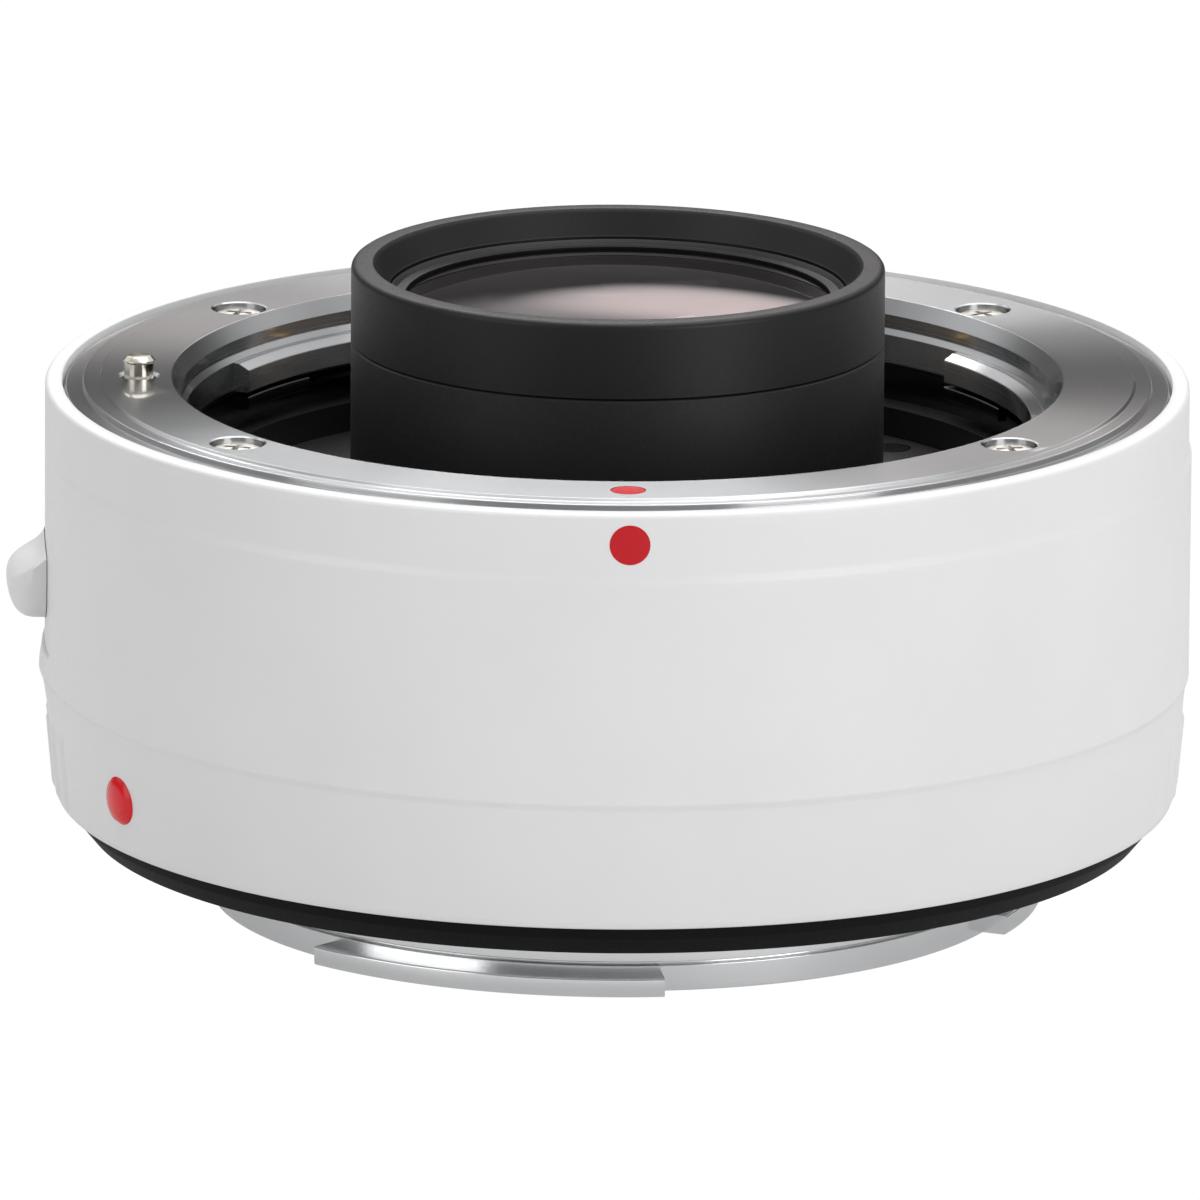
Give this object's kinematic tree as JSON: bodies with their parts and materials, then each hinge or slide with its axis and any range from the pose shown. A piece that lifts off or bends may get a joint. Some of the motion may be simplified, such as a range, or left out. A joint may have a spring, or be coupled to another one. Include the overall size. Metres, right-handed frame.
{
  "type": "camera teleconverter",
  "caption": "Short white barrel with a lens bayonet and a protruding black optical tube on one side, a camera bayonet on the other, and a sliding lens release.",
  "frame": {"origin": "on the optical axis in the plane of the camera-side flange face", "axes": "+Z along the optical axis towards the lens, -Y towards the lens index, -X towards the release lever"},
  "size_m": [0.0742, 0.072, 0.0403],
  "materials": {
    "white_paint": "satin warm white paint",
    "bayonet_steel": "lathe-turned stainless steel",
    "bayonet_chrome": "bright chromed brass",
    "screw_steel": "bright plated steel",
    "spring_steel": "spring steel",
    "chassis_alloy": "black anodised",
    "barrel_black": "matte black coated",
    "black_plastic": "moulded, fine grain",
    "seal_rubber": "moulded, matte",
    "optical_glass": "polished and coated",
    "contact_gold": "gold plated",
    "board_laminate": "solder resist",
    "flex_film": "polyimide film",
    "index_red": "polished red resin"
  },
  "bodies": {
    "converter": {"outer_shell": "white_paint", "front_mount_ring": "bayonet_steel", "mount_screws": "screw_steel", "mount_leaf_spring": "spring_steel", "front_guide_ring": "black_plastic", "inner_chassis": "chassis_alloy", "rear_base_plate": "chassis_alloy", "lens_barrel": "barrel_black", "barrel_cap": "barrel_black", "front_retaining_ring": "barrel_black", "front_spacer": "chassis_alloy", "rear_spacer": "chassis_alloy", "rear_baffle": "black_plastic", "rear_mount_ring": "bayonet_chrome", "rear_mount_shim": "spring_steel", "rear_seal": "seal_rubber", "rear_contact_block": "black_plastic", "rear_contact_pads": "contact_gold", "front_contact_block": "black_plastic", "circuit_board": "board_laminate", "flex_cable": "flex_film", "assembly_screws": "screw_steel", "lever_base": "spring_steel", "guide_posts": "screw_steel", "lock_springs": "spring_steel", "rear_index_bead": "index_red", "lens_element_1": "optical_glass", "lens_element_2": "optical_glass", "lens_element_3": "optical_glass", "lens_element_4": "optical_glass", "lens_element_5": "optical_glass", "lens_element_6": "optical_glass", "lens_element_7": "optical_glass", "contact_spring_1": "spring_steel", "contact_spring_2": "spring_steel", "contact_spring_3": "spring_steel", "contact_spring_4": "spring_steel", "contact_spring_5": "spring_steel", "contact_spring_6": "spring_steel", "contact_spring_7": "spring_steel", "contact_spring_8": "spring_steel", "contact_spring_9": "spring_steel", "contact_spring_10": "spring_steel", "contact_spring_11": "spring_steel"},
    "lock_release": {"release_lever": "white_paint", "lever_bracket": "spring_steel", "lock_pin": "screw_steel", "lever_screw": "screw_steel"},
    "contact_1": {"contact_pin_1": "contact_gold"},
    "contact_2": {"contact_pin_2": "contact_gold"},
    "contact_3": {"contact_pin_3": "contact_gold"},
    "contact_4": {"contact_pin_4": "contact_gold"},
    "contact_5": {"contact_pin_5": "contact_gold"},
    "contact_6": {"contact_pin_6": "contact_gold"},
    "contact_7": {"contact_pin_7": "contact_gold"},
    "contact_8": {"contact_pin_8": "contact_gold"},
    "contact_9": {"contact_pin_9": "contact_gold"},
    "contact_10": {"contact_pin_10": "contact_gold"},
    "contact_11": {"contact_pin_11": "contact_gold"}
  },
  "joints": [
    {"name": "lock_release_slide", "type": "slide", "parent": "converter", "child": "lock_release", "axis": [0, 0, -1], "range_m": [0, 0.0017], "stiffness_N_per_m": 600, "springref_m": -0.003, "deforming": ["lock_springs"]},
    {"name": "contact_press_1", "type": "slide", "parent": "converter", "child": "contact_1", "axis": [0, 0, -1], "range_m": [0, 0.0009], "stiffness_N_per_m": 250, "springref_m": -0.0006, "deforming": ["contact_spring_1"]},
    {"name": "contact_press_2", "type": "slide", "parent": "converter", "child": "contact_2", "axis": [0, 0, -1], "range_m": [0, 0.0009], "stiffness_N_per_m": 250, "springref_m": -0.0006, "deforming": ["contact_spring_2"]},
    {"name": "contact_press_3", "type": "slide", "parent": "converter", "child": "contact_3", "axis": [0, 0, -1], "range_m": [0, 0.0009], "stiffness_N_per_m": 250, "springref_m": -0.0006, "deforming": ["contact_spring_3"]},
    {"name": "contact_press_4", "type": "slide", "parent": "converter", "child": "contact_4", "axis": [0, 0, -1], "range_m": [0, 0.0009], "stiffness_N_per_m": 250, "springref_m": -0.0006, "deforming": ["contact_spring_4"]},
    {"name": "contact_press_5", "type": "slide", "parent": "converter", "child": "contact_5", "axis": [0, 0, -1], "range_m": [0, 0.0009], "stiffness_N_per_m": 250, "springref_m": -0.0006, "deforming": ["contact_spring_5"]},
    {"name": "contact_press_6", "type": "slide", "parent": "converter", "child": "contact_6", "axis": [0, 0, -1], "range_m": [0, 0.0009], "stiffness_N_per_m": 250, "springref_m": -0.0006, "deforming": ["contact_spring_6"]},
    {"name": "contact_press_7", "type": "slide", "parent": "converter", "child": "contact_7", "axis": [0, 0, -1], "range_m": [0, 0.0009], "stiffness_N_per_m": 250, "springref_m": -0.0006, "deforming": ["contact_spring_7"]},
    {"name": "contact_press_8", "type": "slide", "parent": "converter", "child": "contact_8", "axis": [0, 0, -1], "range_m": [0, 0.0009], "stiffness_N_per_m": 250, "springref_m": -0.0006, "deforming": ["contact_spring_8"]},
    {"name": "contact_press_9", "type": "slide", "parent": "converter", "child": "contact_9", "axis": [0, 0, -1], "range_m": [0, 0.0009], "stiffness_N_per_m": 250, "springref_m": -0.0006, "deforming": ["contact_spring_9"]},
    {"name": "contact_press_10", "type": "slide", "parent": "converter", "child": "contact_10", "axis": [0, 0, -1], "range_m": [0, 0.0009], "stiffness_N_per_m": 250, "springref_m": -0.0006, "deforming": ["contact_spring_10"]},
    {"name": "contact_press_11", "type": "slide", "parent": "converter", "child": "contact_11", "axis": [0, 0, -1], "range_m": [0, 0.0009], "stiffness_N_per_m": 250, "springref_m": -0.0006, "deforming": ["contact_spring_11"]}
  ]
}
